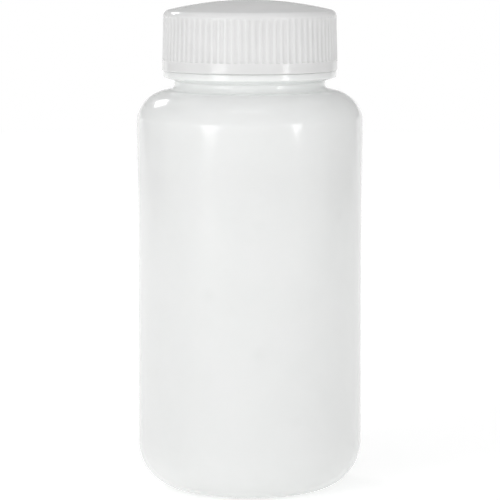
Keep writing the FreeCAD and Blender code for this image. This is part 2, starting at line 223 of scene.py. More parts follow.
class Skin:
    """One closed surface made of rings round the upright axis, in millimetres until it is a mesh."""

    def __init__(self) -> None:
        """Start with nothing."""
        self.vertices: list[tuple[float, float, float]] = []
        self.faces: list[tuple[int, ...]] = []

    def point(self, angle: float, radius: float, height: float) -> int:
        """Add one point and return its number."""
        self.vertices.append((radius * math.cos(angle), radius * math.sin(angle), height))
        return len(self.vertices) - 1

    def face(self, corners: Sequence[int], facing: Facing) -> None:
        """Add one face, turned to the open air."""
        self.faces.append(tuple(corners) if facing is Facing.OUTSIDE else tuple(reversed(corners)))

    def ring(
        self, angles: Sequence[float], radius: float, height: float, relief: Relief = flat
    ) -> list[int]:
        """Add one ring of points.

        Args:
            angles: where the points lie round the axis.
            radius: the ring's radius.
            height: the ring's height.
            relief: how far each point is moved out and up from there.

        Returns:
            The numbers of the points.
        """
        numbers = []
        for angle in angles:
            out, up = relief(angle, radius, height)
            numbers.append(self.point(angle, radius + out, height + up))
        return numbers

    def bridge(self, first: Sequence[int], second: Sequence[int], facing: Facing) -> None:
        """Join two rings that have as many points as each other."""
        for index in range(len(first)):
            after = (index + 1) % len(first)
            self.face((first[index], first[after], second[after], second[index]), facing)

    def fan(self, pole: int, ring: Sequence[int], facing: Facing) -> None:
        """Join a point on the axis to the ring that comes after it."""
        for index in range(len(ring)):
            self.face((pole, ring[(index + 1) % len(ring)], ring[index]), facing)

    def lay(
        self,
        section: Section,
        angles: Sequence[float],
        facing: Facing,
        relief: Relief = flat,
        after: Sequence[int] = (),
    ) -> list[int]:
        """Turn a section round the axis.

        Args:
            section: the outline; where its first point lies on the axis the surface starts in a pole.
            angles: where the columns of points lie round the axis.
            facing: which side is open air.
            relief: how far points are moved from the plain surface.
            after: a ring that is already there in place of the section's first point.

        Returns:
            The last ring.
        """
        points = section.points[1:]
        last = list(after)
        if not last and section.points[0][0] == 0.0:
            pole = self.point(0.0, 0.0, section.points[0][1] + relief(0.0, 0.0, section.points[0][1])[1])
            last = self.ring(angles, *points[0], relief)
            self.fan(pole, last, facing)
            points = points[1:]
        elif not last:
            last = self.ring(angles, *section.points[0], relief)
        for radius, height in points:
            fresh = self.ring(angles, radius, height, relief)
            self.bridge(last, fresh, facing)
            last = fresh
        return last

    def close(self, last: Sequence[int], height: float, facing: Facing) -> None:
        """Close the surface from its last ring to a point on the axis."""
        pole = self.point(0.0, 0.0, height)
        for index in range(len(last)):
            self.face((last[index], last[(index + 1) % len(last)], pole), facing)

    def knit(
        self,
        first: Sequence[int],
        first_angles: Sequence[float],
        second: Sequence[int],
        second_angles: Sequence[float],
        facing: Facing,
    ) -> None:
        """Join two rings with different numbers of points; both start at the same angle.

        Args:
            first: the ring that comes first in the section's order.
            first_angles: the angles of its points, rising.
            second: the ring that comes next.
            second_angles: the angles of its points, rising.
            facing: which side is open air.
        """
        here, there = 0, 0
        while here < len(first) or there < len(second):
            next_here = first_angles[here + 1] if here + 1 < len(first) else first_angles[0] + TURN
            next_there = second_angles[there + 1] if there + 1 < len(second) else second_angles[0] + TURN
            a, b = first[here % len(first)], second[there % len(second)]
            if there >= len(second) or (here < len(first) and next_here <= next_there):
                here += 1
                self.face((a, first[here % len(first)], b), facing)
            else:
                there += 1
                self.face((a, second[there % len(second)], b), facing)

    def wind(
        self,
        thread: Thread,
        angles: Sequence[float],
        wall: float,
        lower: Sequence[int],
        top: float,
        facing: Facing,
    ) -> list[int]:
        """Add a threaded wall between the ring below it and a new ring above it.

        The rows of points climb with the thread, so its edges stay clean. One turn on, each row meets the
        row one pitch higher.

        Args:
            thread: the thread.
            angles: where the columns lie; the first is the thread's start.
            wall: radius of the wall that carries the thread.
            lower: the ring below.
            top: height of the ring above.
            facing: which side is open air.

        Returns:
            The ring above.
        """
        rows = thread.rows()
        wraps = math.ceil(thread.turns)
        count, columns = len(rows), len(angles)

        def climb(column: int, row: int) -> int:
            """Add the point of one row in one column."""
            wrap, index = divmod(row, count)
            turn = wrap + (angles[column] - angles[0]) / TURN
            offset, share = rows[index]
            radius = wall + thread.depth * share * thread.strength(turn)
            return self.point(angles[column], radius, thread.start_height + thread.pitch * turn + offset)

        grid = [[climb(0, row) for row in range((wraps + 1) * count + 1)]]
        grid += [[climb(column, row) for row in range(wraps * count + 1)] for column in range(1, columns)]
        upper = self.ring(angles, wall, top)
        for column in range(columns):
            here = grid[column]
            last = column == columns - 1
            beside = grid[0][count:] if last else grid[column + 1]
            for row in range(wraps * count):
                self.face((here[row], beside[row], beside[row + 1], here[row + 1]), facing)
            below = [lower[column], lower[(column + 1) % columns]]
            edge = grid[0][: count + 1] if last else [beside[0]]
            self.face((*below, *edge, here[0]), facing)
            top_row = wraps * count
            above = [upper[(column + 1) % columns], upper[column]]
            edge = list(reversed(here[top_row + 1 :])) if column == 0 else []
            self.face((here[top_row], beside[top_row], *above, *edge), facing)
        return upper

    def make_object(self, name: str, crease: float = 42.0) -> bpy.types.Object:
        """Turn the skin into a smooth-shaded object.

        Args:
            name: the piece's name.
            crease: degrees from which an edge stays sharp.

        Returns:
            The new object, linked to the scene.
        """
        mesh = bpy.data.meshes.new(name)
        points = [tuple(value * MM for value in vertex) for vertex in self.vertices]
        mesh.from_pydata(points, [], self.faces)
        mesh.shade_smooth()
        mesh.set_sharp_from_angle(angle=math.radians(crease))
        piece = bpy.data.objects.new(name, mesh)
        bpy.context.scene.collection.objects.link(piece)
        return piece


def linear(colour: str) -> tuple[float, float, float, float]:
    """Turn an sRGB hex colour such as #E6E8E6 into Blender's linear values with an alpha of 1."""
    shares = [int(colour[place : place + 2], 16) / 255.0 for place in (1, 3, 5)]
    values = [s / 12.92 if s <= 0.04045 else ((s + 0.055) / 1.055) ** 2.4 for s in shares]
    return values[0], values[1], values[2], 1.0


def add_node(
    tree: Tree,
    kind: str,
    inputs: dict[str | int, object] | None = None,
    links: dict[str | int, Socket] | None = None,
    **settings: object,
) -> bpy.types.Node:
    """Add a shader node with its settings, socket values and links.

    Args:
        tree: the node tree that takes it.
        kind: the node's type without its prefix, such as Bump.
        inputs: values of its sockets, by name or number.
        links: sockets of other nodes that feed its sockets, by name or number.
        settings: the node's own properties.

    Returns:
        The new node.
    """
    made = tree.nodes.new(f"ShaderNode{kind}")
    for name, value in settings.items():
        setattr(made, name, value)
    for name, value in (inputs or {}).items():
        made.inputs[name].default_value = value
    for name, source in (links or {}).items():
        tree.links.new(source, made.inputs[name])
    return made


def empty_material(name: str) -> bpy.types.Material:
    """Make a material that has no nodes yet."""
    material = bpy.data.materials.new(name)
    material.use_nodes = True
    material.node_tree.nodes.clear()
    return material


def add_noise(tree: Tree, place: Socket, spacing_mm: float, detail: float, roughness: float) -> Socket:
    """Add noise whose features are so many millimetres apart."""
    values = {"Scale": 1.0 / (spacing_mm * MM), "Detail": detail, "Roughness": roughness}
    return add_node(tree, "TexNoise", values, {"Vector": place}).outputs["Fac"]


def add_cells(tree: Tree, place: Socket, spacing_mm: float) -> Socket:
    """Add the distance to the nearest of points that are so many millimetres apart, as a share of that."""
    scale = {"Scale": 1.0 / (spacing_mm * MM)}
    return add_node(tree, "TexVoronoi", scale, {"Vector": place}).outputs["Distance"]


def add_bump(tree: Tree, relief: Socket, depth_mm: float) -> Socket:
    """Add the normals of a fine relief that is so many millimetres deep."""
    values = {"Strength": 1.0, "Distance": depth_mm * MM}
    return add_node(tree, "Bump", values, {"Height": relief}).outputs["Normal"]


def remap(
    tree: Tree, value: Socket, old: tuple[float, float], new: tuple[float, float], easing: str = "LINEAR"
) -> Socket:
    """Carry a value from one range over to another, and stop at both ends."""
    ends = {"From Min": old[0], "From Max": old[1], "To Min": new[0], "To Max": new[1]}
    node = add_node(tree, "MapRange", ends, {"Value": value}, interpolation_type=easing)
    return node.outputs["Result"]


def mix_colours(tree: Tree, share: Socket, first: str | Socket, second: str) -> Socket:
    """Mix two colours, the first of which can come from another node."""
    values: dict[str | int, object] = {7: linear(second)}
    links: dict[str | int, Socket] = {0: share}
    if isinstance(first, str):
        values[6] = linear(first)
    else:
        links[6] = first
    return add_node(tree, "Mix", values, links, data_type="RGBA").outputs[2]


@dataclass(frozen=True)
class MilkyPlastic:
    """An undyed polyolefin, milky because its crystals scatter the light that passes through it.

    Colours are the plastic's own under white light. cloud_mm is the spacing of its faint cloudy patches,
    grain_mm that of the mould's satin grain, and walk_mm how far light wanders in it sideways. The surface is
    satin in a belt that is satin_height_mm high, with its middle at the height satin_middle_mm.
    """

    name: str
    colour: str
    cloud_colour: str
    cloud_mm: float
    grain_mm: float
    grain_height_mm: float
    roughness: float
    ior: float
    gloss: float
    walk_mm: float
    cloud_limits: tuple[float, float] = (0.38, 0.72)
    fleck_mm: float = 0.0
    fleck_reach_mm: float = 3.2
    fleck_strength: float = 0.3
    fleck_colour: str = "#EAECEA"
    satin_middle_mm: float = 0.0
    satin_height_mm: float = 0.0
    satin_fade_mm: float = 1.5
    satin_roughness: float = 0.34

    def material(self) -> bpy.types.Material:
        """Build the material."""
        material = empty_material(self.name)
        tree = material.node_tree
        place = add_node(tree, "TexCoord").outputs["Object"]
        cloud = add_noise(tree, place, self.cloud_mm, 3.0, 0.55)
        veil = remap(tree, cloud, self.cloud_limits, (0.0, 1.0))
        colour = mix_colours(tree, veil, self.colour, self.cloud_colour)
        if self.fleck_mm > 0.0:
            colour = self.add_flecks(tree, place, colour)
        grain = add_noise(tree, place, self.grain_mm, 2.0, 0.6)
        shader = add_node(
            tree,
            "BsdfPrincipled",
            {
                "IOR": self.ior,
                "Specular IOR Level": self.gloss,
                "Subsurface Weight": 1.0,
                "Subsurface Radius": (1.0, 1.0, 1.0),
                "Subsurface Scale": self.walk_mm * MM,
            },
            {
                "Base Color": colour,
                "Roughness": self.add_satin(tree, place),
                "Normal": add_bump(tree, grain, self.grain_height_mm),
            },
            subsurface_method="RANDOM_WALK",
        )
        add_node(tree, "OutputMaterial", links={"Surface": shader.outputs["BSDF"]})
        return material

    def add_satin(self, tree: Tree, place: Socket) -> Socket:
        """Add the roughness, which is higher in the satin belt."""
        height = add_node(tree, "SeparateXYZ", links={0: place}).outputs["Z"]
        middle = {1: self.satin_middle_mm * MM}
        above = add_node(tree, "Math", middle, {0: height}, operation="SUBTRACT").outputs[0]
        away = add_node(tree, "Math", links={0: above}, operation="ABSOLUTE").outputs[0]
        reach = self.satin_height_mm / 2.0
        edge = ((reach - self.satin_fade_mm) * MM, reach * MM)
        return remap(tree, away, edge, (self.satin_roughness, self.roughness))

    def add_flecks(self, tree: Tree, place: Socket, colour: Socket) -> Socket:
        """Add the few small gels, which are unmelted grains of resin, to the colour as darker flecks."""
        cells = add_cells(tree, place, self.fleck_mm)
        edge = (0.0, self.fleck_reach_mm / self.fleck_mm)
        near = remap(tree, cells, edge, (self.fleck_strength, 0.0))
        return mix_colours(tree, near, colour, self.fleck_colour)


# Natural blow-moulded HDPE: a soft sheen over the mould's fine grain; light enters but no shape shows.
NATURAL_HDPE = MilkyPlastic(
    name="natural_hdpe_blow_moulded",
    colour="#F4F6F5",
    cloud_colour="#F2F4F3",
    cloud_mm=16.0,
    grain_mm=0.9,
    grain_height_mm=0.003,
    roughness=0.13,
    ior=1.54,
    gloss=0.4,
    walk_mm=1.8,
    fleck_mm=20.0,
)

# Natural injection-moulded PP: milky, glossy on its plain band and top, satin on the grip.
NATURAL_PP = MilkyPlastic(
    name="natural_pp_injection_moulded",
    colour="#E7E7E7",
    cloud_colour="#E4E4E4",
    cloud_mm=9.0,
    grain_mm=0.8,
    grain_height_mm=0.001,
    roughness=0.1,
    ior=1.49,
    gloss=0.4,
    walk_mm=1.6,
    satin_middle_mm=150.4,
    satin_height_mm=16.4,
)


@dataclass(frozen=True)
class FoamedPolyethylene:
    """Sheet of foamed polyethylene, cut to a disc: soft, matt and white, with fine closed cells."""

    name: str = "foamed_polyethylene_sheet"
    colour: str = "#EFEFED"
    cell_colour: str = "#DCDCD9"
    cell_mm: float = 0.45
    cell_depth_mm: float = 0.05
    roughness: float = 0.72
    ior: float = 1.5
    walk_share: float = 0.6
    walk_mm: float = 0.8

    def material(self) -> bpy.types.Material:
        """Build the material."""
        material = empty_material(self.name)
        tree = material.node_tree
        place = add_node(tree, "TexCoord").outputs["Object"]
        cells = add_cells(tree, place, self.cell_mm)
        shader = add_node(
            tree,
            "BsdfPrincipled",
            {
                "Roughness": self.roughness,
                "IOR": self.ior,
                "Subsurface Weight": self.walk_share,
                "Subsurface Radius": (1.0, 1.0, 1.0),
                "Subsurface Scale": self.walk_mm * MM,
            },
            {
                "Base Color": mix_colours(tree, cells, self.colour, self.cell_colour),
                "Normal": add_bump(tree, cells, self.cell_depth_mm),
            },
        )
        add_node(tree, "OutputMaterial", links={"Surface": shader.outputs["BSDF"]})
        return material


def dress(piece: bpy.types.Object, material: bpy.types.Material, node: str) -> None:
    """Give a piece its finish and its place in the frame.

    Args:
        piece: the new piece.
        material: its finish.
        node: the CAD node that it stands for, whose body it rides on.
    """
    piece.data.materials.append(material)
    body = next(name for name, nodes in BODIES.items() if node in nodes)
    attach(piece, body)
    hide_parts(node)
    LOG.info("%s: %d faces, rides on %s", piece.name, len(piece.data.polygons), body)


BODIES: dict[str, list[str]] = frame["record"]["behaviour"]["bodies"]


@dataclass
class ThreadPair:
    """The closure's thread, which the neck and the cap share, in millimetres."""

    pitch: float = 4.2333
    neck_radius: float = 25.0
    neck_depth: float = 1.25
    neck_root: float = 2.4
    neck_crest: float = 1.1
    neck_turns: float = 2.0
    neck_start: float = 3.45
    cap_root: float = 2.0
    cap_crest: float = 0.9
    cap_turns: float = 1.9
    crest_gap: float = 0.5
    flank_gap: float = 0.34

    @property
    def skirt_bore(self) -> float:
        """Radius of the cap's bore, clear of the neck's thread."""
        return self.neck_radius + self.neck_depth + self.crest_gap

    @property
    def cap_depth(self) -> float:
        """How far the cap's thread stands in from its bore."""
        return self.skirt_bore - self.neck_radius - self.crest_gap

    @property
    def drop(self) -> float:
        """How far the cap's thread lies under the neck's, so that their flanks all but touch."""
        overlap = self.neck_depth - self.crest_gap
        leans = (
            (self.neck_root - self.neck_crest) / (2.0 * self.neck_depth),
            (self.cap_root - self.cap_crest) / (2.0 * self.cap_depth),
        )
        return (self.neck_crest + self.cap_crest) / 2.0 + overlap * max(leans) + self.flank_gap

    def on_neck(self, collar_top: float) -> Thread:
        """The neck's thread, above a collar at that height."""
        return Thread(
            pitch=self.pitch,
            turns=self.neck_turns,
            start_angle=0.0,
            start_height=collar_top + self.neck_start,
            root=self.neck_root,
            crest=self.neck_crest,
            depth=self.neck_depth,
            low_row=2.35,
        )

    def in_cap(self, collar_top: float) -> Thread:
        """The cap's thread, which starts a quarter turn further round."""
        return Thread(
            pitch=self.pitch,
            turns=self.cap_turns,
            start_angle=QUARTER,
            start_height=collar_top + self.neck_start + self.pitch / 4.0 - self.drop,
            root=self.cap_root,
            crest=self.cap_crest,
            depth=-self.cap_depth,
            low_row=1.5,
        )


@dataclass
class BlownBottle:
    """The bottle: base, side, shoulder, neck, collar and threaded finish in one shell, in millimetres."""

    threads: ThreadPair
    body_radius: float = 37.35
    shoulder_radius: float = 37.6
    side_wall: float = 1.4
    base_wall: float = 1.8
    base_corner: float = 15.4
    foot_width: float = 2.4
    push_up: float = 2.0
    panel_height: float = 84.0
    flare_height: float = 28.0
    waist_height: float = 107.0
    waist_swell: float = 0.06
    edge_height: float = 119.0
    edge_bend: float = 400.0
    side_height: float = 124.0
    shoulder_arc: float = 11.87
    shoulder_tilt: float = 11.8
    edge_drop: float = 0.4
    edge_inset: float = 0.04
    edge_rise: float = 0.1
    neck_wall: float = 2.6
    neck_fillet: float = 1.9
    groove_round: float = 0.7
    thread_foot_round: float = 0.45
    mouth_radius: float = 21.8
    collar_radius: float = 28.75
    collar_face: float = 2.2
    collar_slope: float = 19.0
    collar_round: float = 0.22
    collar_hollow: float = 1.42
    finish_height: float = 14.5
    rim_round: float = 0.6
    parting_height: float = 0.05
    parting_width: float = 0.16
    pinch_height: float = 0.35
    pinch_width: float = 0.7
    pinch_reach: float = 17.0
    pinch_fade: float = 2.0
    foot_fade: tuple[float, float] = (1.0, 4.0)
    wave_height: float = 0.025
    wave_foot: float = 12.0
    wave_top: float = 4.0
    wave_fade: float = 14.0
    wave_lengths: tuple[float, float] = (17.0, 27.0)
    columns: int = 320

    def __post_init__(self) -> None:
        """Take the rim's height from the frame, and work out what hangs on it."""
        self.rim = node_box_mm("sealing_disc")[0].z
        self.collar_top = self.rim - self.finish_height
        self.neck_radius = self.threads.neck_radius
        self.draw_in = self.parting_height + self.wave_height
        tilt = math.radians(self.shoulder_tilt)
        self.arc_x = self.shoulder_radius - self.shoulder_arc * math.cos(tilt)
        self.arc_z = self.side_height - self.shoulder_arc * math.sin(tilt)
        self.foot = self.body_radius - self.base_corner
        self.foot_inner = self.foot - self.foot_width
        self.base_bend = (self.foot_inner**2 + self.push_up**2) / (2.0 * self.push_up)
        self.groove_top = (
            self.collar_top
            - self.collar_face
            - (self.collar_radius - self.neck_radius) * math.tan(math.radians(self.collar_slope))
        )

    def angles(self) -> list[float]:
        """Columns round the axis, with a few more where the mould's two halves met."""
        even = [TURN * index / self.columns for index in range(self.columns)]
        offsets = [share * self.parting_width / self.body_radius for share in (0.6, 1.4, 2.6)]
        extra = [side + sign * step for side in (0.0, TURN / 2.0) for step in offsets for sign in (1, -1)]
        return sorted(angle % TURN for angle in even + extra)

    def relief(self, angle: float, radius: float, height: float) -> tuple[float, float]:
        """The parting line down both sides, the pinch-off across the base and the blown side's soft waves."""
        across, along = radius * math.sin(angle), abs(radius * math.cos(angle))
        under = height < self.push_up + 0.1 and radius < self.foot_inner
        if under:
            ends = smooth((self.pinch_reach - along) / self.pinch_fade)
            return 0.0, -self.pinch_height * ends * math.exp(-((across / self.pinch_width) ** 2) * 2.0)
        above_foot = smooth((height - self.foot_fade[0]) / self.foot_fade[1])
        seam = self.parting_height * above_foot * math.exp(-((across / self.parting_width) ** 2))
        on_side = smooth((height - self.wave_foot) / self.wave_fade)
        on_side *= smooth((self.side_height - self.wave_top - height) / self.wave_fade)
        short, long = self.wave_lengths
        swell = math.sin(3.0 * angle + 1.3) * math.sin(height / short + 0.6)
        swell += 0.6 * math.sin(5.0 * angle + 2.1 + height / long)
        return seam + self.wave_height * on_side * swell / 1.6 - self.draw_in * above_foot, 0.0

    def touch(self, arc: float, neck: float, hollow: float) -> tuple[float, float, float]:
        """Where the shoulder's curve meets the hollow under the neck.

        Args:
            arc: radius of the shoulder's curve.
            neck: radius of the neck.
            hollow: radius of the hollow.

        Returns:
            Radius and height of the meeting point, and the height at which the hollow reaches the neck.
        """
        reach = arc + hollow
        run = neck + hollow - self.arc_x
        top = self.arc_z + math.sqrt(reach * reach - run * run)
        share = arc / reach
        return self.arc_x + run * share, self.arc_z + (top - self.arc_z) * share, top

    def outside(self) -> Section:
        """Section of the outside, from the middle of the base to the foot of the thread."""
        collar, top = self.collar_radius, self.collar_top
        under = top - self.collar_face
        touch_x, touch_z, hollow_z = self.touch(self.shoulder_arc, self.neck_radius, self.neck_fillet)
        outline = Section(0.0, self.push_up)
        outline.arc(self.foot_inner, 0.0, -self.base_bend, 12)
        outline.line(self.foot, 0.0, 2)
        outline.arc(self.body_radius, self.base_corner, self.base_corner, 22)
        outline.line(self.body_radius, self.panel_height, 8)
        outline.line(self.body_radius + self.waist_swell, self.waist_height, 8, soft=True)
        outline.arc(self.shoulder_radius, self.edge_height, self.edge_bend, 8)
        outline.line(self.shoulder_radius, self.side_height - self.edge_drop, 2)
        outline.line(self.shoulder_radius - self.edge_inset, self.side_height + self.edge_rise)
        outline.arc(touch_x, touch_z, self.shoulder_arc, 20)
        outline.arc(self.neck_radius, hollow_z, -self.neck_fillet, 7)
        outline.corner((self.neck_radius, self.groove_top), (collar, under), self.groove_round)
        outline.corner((collar, under), (collar, top), self.collar_round)
        outline.corner((collar, top), (self.neck_radius, top), self.collar_round)
        outline.corner((self.neck_radius, top), (self.neck_radius, self.rim), self.thread_foot_round)
        return outline

    def inside(self) -> Section:
        """Section of the inside, from the middle of the base to the flat of the rim."""
        wall, corner = self.side_wall, self.base_corner - self.side_wall
        side = self.shoulder_radius - wall
        bore = self.neck_radius - self.neck_wall
        inner_arc = self.shoulder_arc - wall
        edge = self.arc_z + math.sqrt(inner_arc**2 - (side - self.arc_x) ** 2)
        touch_x, touch_z, hollow_z = self.touch(inner_arc, bore, self.neck_fillet + wall)
        rounding, mouth = self.rim_round, self.mouth_radius
        outline = Section(0.0, self.push_up + self.base_wall)
        outline.arc(self.foot_inner, self.base_wall, -self.base_bend, 8)
        outline.line(self.foot, self.base_wall)
        outline.arc(self.body_radius - wall, self.base_wall + corner, corner, 16)
        outline.line(self.body_radius - wall, self.panel_height, 5)
        outline.line(side, self.panel_height + self.flare_height, 6, soft=True)
        outline.line(side, edge, 2)
        outline.arc(touch_x, touch_z, inner_arc, 14)
        outline.arc(bore, hollow_z, -(self.neck_fillet + wall), 7)
        hollow_foot, hollow_top = self.groove_top - self.collar_round, self.collar_top + self.collar_round
        chord = math.hypot(bore - mouth, hollow_top - hollow_foot)
        bend = chord**2 / (8.0 * self.collar_hollow) + self.collar_hollow / 2.0
        outline.line(bore, hollow_foot)
        outline.arc(mouth, hollow_top, bend, 10)
        outline.line(mouth, self.rim - rounding, 3)
        outline.arc(mouth + rounding, self.rim, -rounding, 5)
        return outline

    def build(self) -> bpy.types.Object:
        """Build the shell as one closed mesh."""
        skin = Skin()
        angles = self.angles()
        foot = skin.lay(self.outside(), angles, Facing.OUTSIDE, self.relief)
        thread = self.threads.on_neck(self.collar_top)
        shoulder_of_rim = self.rim - self.rim_round
        neck = skin.wind(thread, angles, self.neck_radius, foot, shoulder_of_rim, Facing.OUTSIDE)
        rim = Section(self.neck_radius, shoulder_of_rim)
        rim.arc(self.neck_radius - self.rim_round, self.rim, self.rim_round, 5)
        outer_rim = skin.lay(rim, angles, Facing.OUTSIDE, after=neck)
        inner_rim = skin.lay(self.inside(), angles, Facing.INSIDE)
        skin.bridge(outer_rim, inner_rim, Facing.OUTSIDE)
        return skin.make_object("blown_bottle")


@dataclass
class RibbedCap:
    """The cap: domed top, rounded corner, ribbed grip, plain band and threaded bore, in millimetres."""

    threads: ThreadPair
    collar_top: float
    band_height: float = 3.35
    lip_round: float = 0.22
    band_radius: float = 29.1
    top_radius: float = 28.75
    corner: float = 2.35
    crown_radius: float = 114.0
    roof_wall: float = 1.65
    roof_corner: float = 1.0
    land_inner: float = 22.2
    land_width: float = 2.4
    rib_count: int = 78
    rib_height: float = 0.25
    rib_root: float = 1.6
    rib_crest: float = 0.6
    run_out: float = 3.2
    run_up: float = 1.2
    low_run_out: float = 0.35
    panel_inset: float = 0.04
    land_round: float = 0.2
    land_foot_round: float = 0.3
    thread_clear: float = 0.3
    pole_reach: float = 1.5

    def __post_init__(self) -> None:
        """Take the cap's two ends from the frame, and work out its corner."""
        low, high = node_box_mm("screw_cap")
        self.lip = low.z
        self.apex = high.z
        self.disc_top = node_box_mm("sealing_disc")[1].z
        self.bore = self.threads.skirt_bore
        self.dome_z = self.apex - self.crown_radius
        self.corner_x = self.top_radius - self.corner
        reach = self.crown_radius - self.corner
        self.corner_z = self.dome_z + math.sqrt(reach**2 - self.corner_x**2)
        self.band_top = self.lip + self.band_height

    def outer_angles(self) -> list[float]:
        """Columns of the outside: twelve to a rib, closest on its flanks, from the middle of a furrow."""
        steps = (-0.5, -0.36, -0.29, -0.235, -0.18, -0.11, 0.0, 0.11, 0.18, 0.235, 0.29, 0.36)
        period = TURN / self.rib_count
        return [QUARTER + period * (rib + 0.5 + step) for rib in range(self.rib_count) for step in steps]

    def inner_angles(self) -> list[float]:
        """Columns of the inside: four to a rib, from the same start."""
        count = self.rib_count * 4
        return [QUARTER + TURN * index / count for index in range(count)]

    def furrow(self, angle: float) -> float:
        """How deep an angle lies between the ribs: 0 on a rib's crest and 1 on the floor."""
        period = TURN / self.rib_count
        share = ((angle - QUARTER) / period) % 1.0 - 0.5
        distance = abs(share) * period * self.band_radius
        return smooth((distance - self.rib_crest / 2.0) / ((self.rib_root - self.rib_crest) / 2.0))

    def relief(self, angle: float, radius: float, height: float) -> tuple[float, float]:
        """The furrows between the ribs, which run out above and below."""
        depth = smooth((height - self.band_top) / self.low_run_out)
        depth *= smooth((self.corner_z + self.run_up - height) / self.run_out)
        return -self.rib_height * self.furrow(angle) * depth, 0.0

    def outside(self) -> Section:
        """Section of the outside, from the lip to the edge of the dome's middle."""
        rounding, band = self.lip_round, self.band_radius
        touch = self.crown_radius / (self.crown_radius - self.corner)
        touch_x = self.corner_x * touch
        touch_z = self.dome_z + (self.corner_z - self.dome_z) * touch
        inner_z = self.dome_z + math.sqrt(self.crown_radius**2 - self.pole_reach**2)
        outline = Section(band - rounding, self.lip)
        outline.arc(band, self.lip + rounding, rounding, 5)
        outline.flat_run(band, self.band_top)
        outline.line(band - self.panel_inset, self.band_top + self.low_run_out, 4)
        outline.line(self.top_radius, self.corner_z - self.run_out, 4)
        outline.line(self.top_radius, self.corner_z, 3)
        outline.arc(touch_x, touch_z, self.corner, 12)
        outline.arc(self.pole_reach, inner_z, self.crown_radius, 12)
        return outline

    def inside(self) -> Section:
        """Section of the inside above the thread, from the bore to the middle of the roof."""
        inner_dome = self.crown_radius - self.roof_wall
        corner_x = self.bore - self.roof_corner
        reach = inner_dome - self.roof_corner
        corner_z = self.dome_z + math.sqrt(reach**2 - corner_x**2)
        touch = inner_dome / reach
        touch_x, touch_z = corner_x * touch, self.dome_z + (corner_z - self.dome_z) * touch
        near, far, land = self.land_inner, self.land_inner + self.land_width, self.disc_top

        def roof(radius: float) -> float:
            """Height of the roof's underside at a radius."""
            return self.dome_z + math.sqrt(inner_dome**2 - radius**2)

        outline = Section(self.bore, self.thread_top)
        outline.line(self.bore, corner_z, 2)
        outline.arc(touch_x, touch_z, self.roof_corner, 5)
        outline.corner((far, roof(far)), (far, land), self.land_foot_round, 3)
        outline.corner((far, land), (near, land), self.land_round, 3)
        outline.corner((near, land), (near, roof(near)), self.land_round, 3)
        outline.corner((near, roof(near)), (0.0, roof(0.0)), self.land_foot_round, 3)
        outline.arc(self.pole_reach, roof(self.pole_reach), inner_dome, 8)
        return outline

    @property
    def thread_top(self) -> float:
        """Height at which the bore is plain again above the thread."""
        thread = self.threads.in_cap(self.collar_top)
        wraps = math.ceil(thread.turns) + 1
        return thread.start_height + thread.pitch * wraps - thread.low_row + self.thread_clear

    def build(self) -> bpy.types.Object:
        """Build the cap as one closed mesh."""
        skin = Skin()
        outer, inner = self.outer_angles(), self.inner_angles()
        start = skin.ring(outer, self.band_radius - self.lip_round, self.lip)
        dome = skin.lay(self.outside(), outer, Facing.OUTSIDE, self.relief, after=start)
        skin.close(dome, self.apex, Facing.OUTSIDE)
        lip = skin.ring(inner, self.bore + self.lip_round, self.lip)
        skin.knit(lip, inner, start, outer, Facing.OUTSIDE)
        mouth = Section(self.bore + self.lip_round, self.lip)
        mouth.arc(self.bore, self.lip + self.lip_round, -self.lip_round, 5)
        bore = skin.lay(mouth, inner, Facing.INSIDE, after=lip)
        thread = self.threads.in_cap(self.collar_top)
        above = skin.wind(thread, inner, self.bore, bore, self.thread_top, Facing.INSIDE)
        roof = skin.lay(self.inside(), inner, Facing.INSIDE, after=above)
        skin.close(roof, self.apex - self.roof_wall, Facing.INSIDE)
        return skin.make_object("ribbed_cap")


@dataclass
class FoamDisc:
    """The loose disc that seals the rim, in millimetres."""

    edge_round: float = 0.25
    air: float = 0.02
    pole_reach: float = 1.0
    columns: int = 160

    def build(self) -> bpy.types.Object:
        """Build the disc as one closed mesh, a hair clear of the rim and the cap's ring."""
        low, high = node_box_mm("sealing_disc")
        radius, bottom, top = high.x, low.z + self.air, high.z - self.air
        rounding = self.edge_round
        outline = Section(0.0, bottom)
        outline.line(radius - rounding, bottom, 8)
        outline.arc(radius, bottom + rounding, rounding, 4)
        outline.line(radius, top - rounding)
        outline.arc(radius - rounding, top, rounding, 4)
        outline.line(self.pole_reach, top, 8)
        angles = [TURN * index / self.columns for index in range(self.columns)]
        skin = Skin()
        last = skin.lay(outline, angles, Facing.OUTSIDE)
        skin.close(last, top, Facing.OUTSIDE)
        return skin.make_object("foam_disc")


class LampShape(Enum):
    """Outline of a lamp's bright face."""

    RECTANGLE = "RECTANGLE"
    ELLIPSE = "ELLIPSE"


@dataclass(frozen=True)
class Lamp:
    """A soft lamp that looks at the bottle, in metres and degrees.

    The azimuth is measured round the bottle from the camera's side, to the right. The brightness is what
    a mirror would show.
    """

    name: str
    azimuth: float
    elevation: float
    distance: float
    width: float
    height: float
    brightness: float
    shape: LampShape = LampShape.RECTANGLE
    target: float = 0.12

    def place(self) -> None:
        """Put the lamp in the scene."""
        turn, rise = math.radians(self.azimuth), math.radians(self.elevation)
        away = Vector((math.sin(turn) * math.cos(rise), -math.cos(turn) * math.cos(rise), math.sin(rise)))
        lamp = bpy.data.lights.new(self.name, "AREA")
        lamp.shape = self.shape.value
        lamp.size, lamp.size_y = self.width, self.height
        area = self.width * self.height * (math.pi / 4.0 if self.shape is LampShape.ELLIPSE else 1.0)
        lamp.energy = self.brightness * math.pi * area
        holder = bpy.data.objects.new(self.name, lamp)
        holder.location = Vector((0.0, 0.0, self.target)) + away * self.distance
        holder.rotation_euler = away.to_track_quat("Z", "Y").to_euler()
        bpy.context.scene.collection.objects.link(holder)


